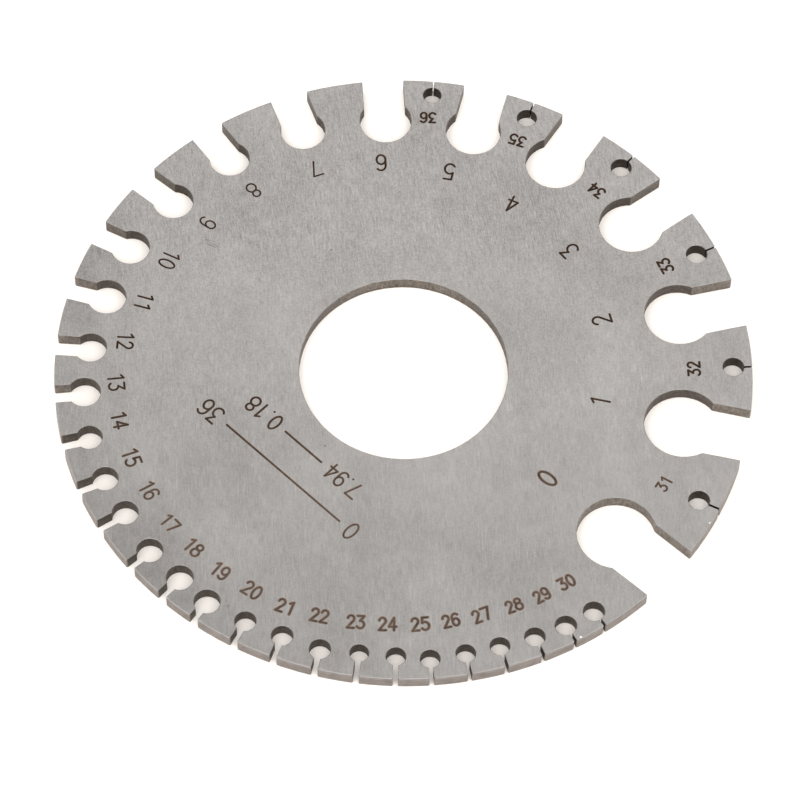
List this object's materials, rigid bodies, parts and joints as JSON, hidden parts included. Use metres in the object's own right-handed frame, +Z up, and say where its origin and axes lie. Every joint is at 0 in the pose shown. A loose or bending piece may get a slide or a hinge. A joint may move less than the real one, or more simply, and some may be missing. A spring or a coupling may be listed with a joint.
{
  "type": "wire gauge plate",
  "caption": "Flat round steel plate for gauging wire and sheet, with a large centre hole and graded open slots round its rim, each ending in a drilled relief hole.",
  "frame": {"origin": "on the axis of the centre hole, at the underside that lies on the table", "axes": "+Z up along the centre hole; +X to the right in the picture, and -Y towards its camera"},
  "size_m": [0.085, 0.085, 0.0019],
  "materials": {
    "brushed_plate": "fine straight brushed grain with dark engraved numerals"
  },
  "bodies": {
    "root": {"gauge_plate": "brushed_plate"}
  },
  "joints": []
}
